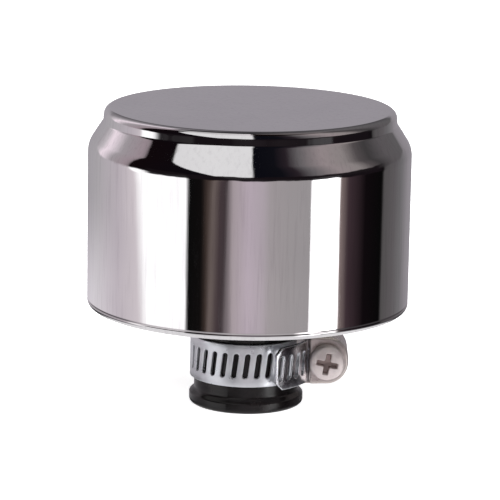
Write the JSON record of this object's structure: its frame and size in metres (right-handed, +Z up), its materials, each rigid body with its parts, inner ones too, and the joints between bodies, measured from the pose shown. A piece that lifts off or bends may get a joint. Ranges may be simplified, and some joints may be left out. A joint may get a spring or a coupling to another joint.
{
  "type": "air filter housing",
  "caption": "Round bright cap over a pleated breather element, on a rubber neck held by a worm-drive band clamp.",
  "frame": {"origin": "centre of the neck's mouth, on the plane that the neck stands on", "axes": "+Z up the neck and through the middle of the cap, -Y towards the head of the clamp's screw, +X towards the clamp's housing"},
  "size_m": [0.06, 0.06, 0.0559],
  "materials": {
    "bright_chrome": "polished chrome plate with fine polishing lines",
    "plated_steel": "bright zinc plate",
    "wire": "woven wire",
    "media": "pleated filter paper",
    "gasket": "pressed cork and rubber",
    "neck_rubber": "moulded, semi-gloss",
    "band_steel": "rolled stainless band",
    "housing_steel": "pressed stainless",
    "screw_zinc": "dull zinc plate"
  },
  "bodies": {
    "base": {"base_plate": "plated_steel", "bridge": "plated_steel", "bridge_rivets": "plated_steel", "neck_collar": "plated_steel", "flat_washer": "plated_steel", "spring_washer": "plated_steel", "lock_nut": "plated_steel", "rubber_neck": "neck_rubber"},
    "element": {"upper_end_plate": "plated_steel", "outer_screen": "wire", "filter_media": "media", "inner_screen": "wire", "inner_core": "plated_steel", "lower_end_plate": "plated_steel", "lower_gasket": "gasket", "top_gasket": "gasket"},
    "cap": {"cap_shell": "bright_chrome", "stud_plate": "plated_steel", "cap_stud": "plated_steel"},
    "clamp": {"clamp_band": "band_steel", "clamp_saddle": "housing_steel", "clamp_housing": "housing_steel"},
    "screw": {"clamp_screw": "screw_zinc"},
    "band_end": {"clamp_tail": "band_steel"}
  },
  "joints": [
    {"name": "element_lift", "type": "slide", "parent": "base", "child": "element", "axis": [0, 0, 1], "range_m": [0, 0.02]},
    {"name": "cap_lift", "type": "slide", "parent": "element", "child": "cap", "axis": [0, 0, 1], "range_m": [0, 0.045]},
    {"name": "clamp_turn", "type": "hinge", "parent": "base", "child": "clamp", "pos_m": [0, 0, 0.0092], "axis": [0, 0, 1], "continuous": true},
    {"name": "screw_turn", "type": "hinge", "parent": "clamp", "child": "screw", "pos_m": [0.015, 0, 0.0092], "axis": [0, 1, 0], "range_deg": [0, 720]},
    {"name": "band_feed", "type": "hinge", "parent": "clamp", "child": "band_end", "pos_m": [-0.00305, 0, 0.0092], "axis": [0, 0, -1], "range_deg": [0, 16]}
  ],
  "couplings": [
    {"joint": "band_feed", "follows": "screw_turn", "ratio": 0.022134}
  ]
}
